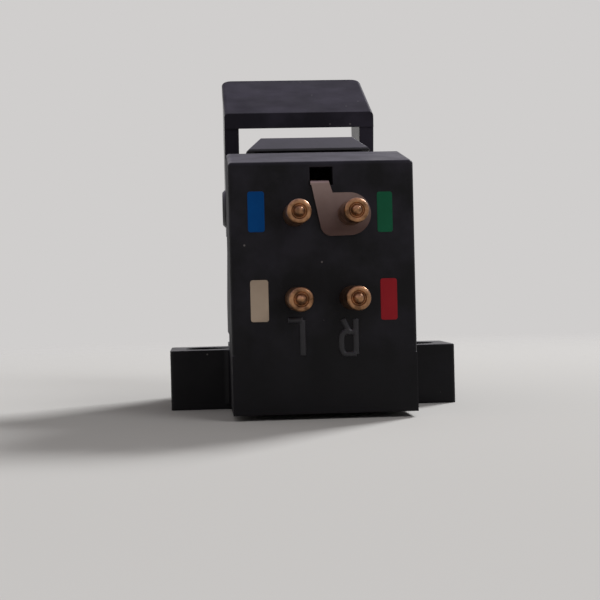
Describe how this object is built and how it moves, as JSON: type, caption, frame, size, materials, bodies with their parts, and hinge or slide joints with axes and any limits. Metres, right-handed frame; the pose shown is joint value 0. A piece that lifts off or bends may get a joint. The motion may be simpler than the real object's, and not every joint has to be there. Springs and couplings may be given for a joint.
{
  "type": "phono cartridge",
  "caption": "Black half-inch-mount phono cartridge with screw ears, gold rear terminals, a pull-out stylus assembly and a flip-over stylus guard.",
  "frame": {"origin": "midway between the two screw holes, on the mounting face that goes against the headshell", "axes": "+Y runs forward from the terminals to the stylus, +Z is away from the headshell (stylus side up), +X is to the right seen from the terminals"},
  "size_m": [0.0172, 0.0278, 0.0219],
  "materials": {
    "body_plastic": "satin black moulding",
    "holder_plastic": "satin black moulding",
    "guard_plastic": "smooth black moulding",
    "frame_plastic": "matt moulding",
    "bobbin_plastic": "natural nylon",
    "carrier_plastic": "matt moulding",
    "strap_metal": "dull tinned sheet",
    "pin_gold": "gold plated",
    "shield_metal": "annealed nickel-iron sheet",
    "core_metal": "nickel-iron lamination",
    "coil_wire": "enamelled copper wire",
    "sleeve_brass": "turned",
    "damper_rubber": "soft rubber",
    "wire_steel": "drawn wire",
    "magnet_metal": "sintered magnet",
    "cantilever_aluminium": "drawn tube",
    "tip_diamond": "polished"
  },
  "bodies": {
    "cartridge": {"body_shell": "body_plastic", "ground_strap": "strap_metal", "pin_left_signal": "pin_gold", "pin_left_return": "pin_gold", "pin_right_signal": "pin_gold", "pin_right_return": "pin_gold", "shield_can": "shield_metal", "generator_frame": "frame_plastic", "core_left": "core_metal", "core_right": "core_metal", "bobbin_left_rear": "bobbin_plastic", "bobbin_left_front": "bobbin_plastic", "bobbin_right_rear": "bobbin_plastic", "bobbin_right_front": "bobbin_plastic", "coil_left_rear": "coil_wire", "coil_left_front": "coil_wire", "coil_right_rear": "coil_wire", "coil_right_front": "coil_wire"},
    "stylus_assembly": {"stylus_holder": "holder_plastic", "sleeve": "sleeve_brass", "anchor_plug": "sleeve_brass"},
    "suspension": {"tension_wire": "wire_steel", "damper_ring": "damper_rubber"},
    "needle": {"cantilever": "cantilever_aluminium", "magnet_carrier": "carrier_plastic", "magnet_left": "magnet_metal", "magnet_right": "magnet_metal", "stylus_tip": "tip_diamond"},
    "guard": {"stylus_guard": "guard_plastic"}
  },
  "joints": [
    {"name": "stylus_pull", "type": "slide", "parent": "cartridge", "child": "stylus_assembly", "axis": [0, 1, 0], "range_m": [0, 0.012]},
    {"name": "guard_swing", "type": "hinge", "parent": "stylus_assembly", "child": "guard", "pos_m": [0, 0.0077, 0.0126], "axis": [-1, 0, 0], "range_deg": [0, 112]},
    {"name": "stylus_sway", "type": "hinge", "parent": "stylus_assembly", "child": "suspension", "pos_m": [0, 0.0033, 0.01458], "axis": [0, 0, 1], "range_deg": [-2.5, 2.5], "stiffness_Nm_per_rad": 0.0011, "deforming": ["tension_wire", "damper_ring"]},
    {"name": "stylus_dip", "type": "hinge", "parent": "suspension", "child": "needle", "pos_m": [0, 0.0033, 0.01458], "axis": [1, 0, 0], "range_deg": [-4, 1.5], "stiffness_Nm_per_rad": 0.0011, "deforming": ["tension_wire", "damper_ring"]}
  ]
}
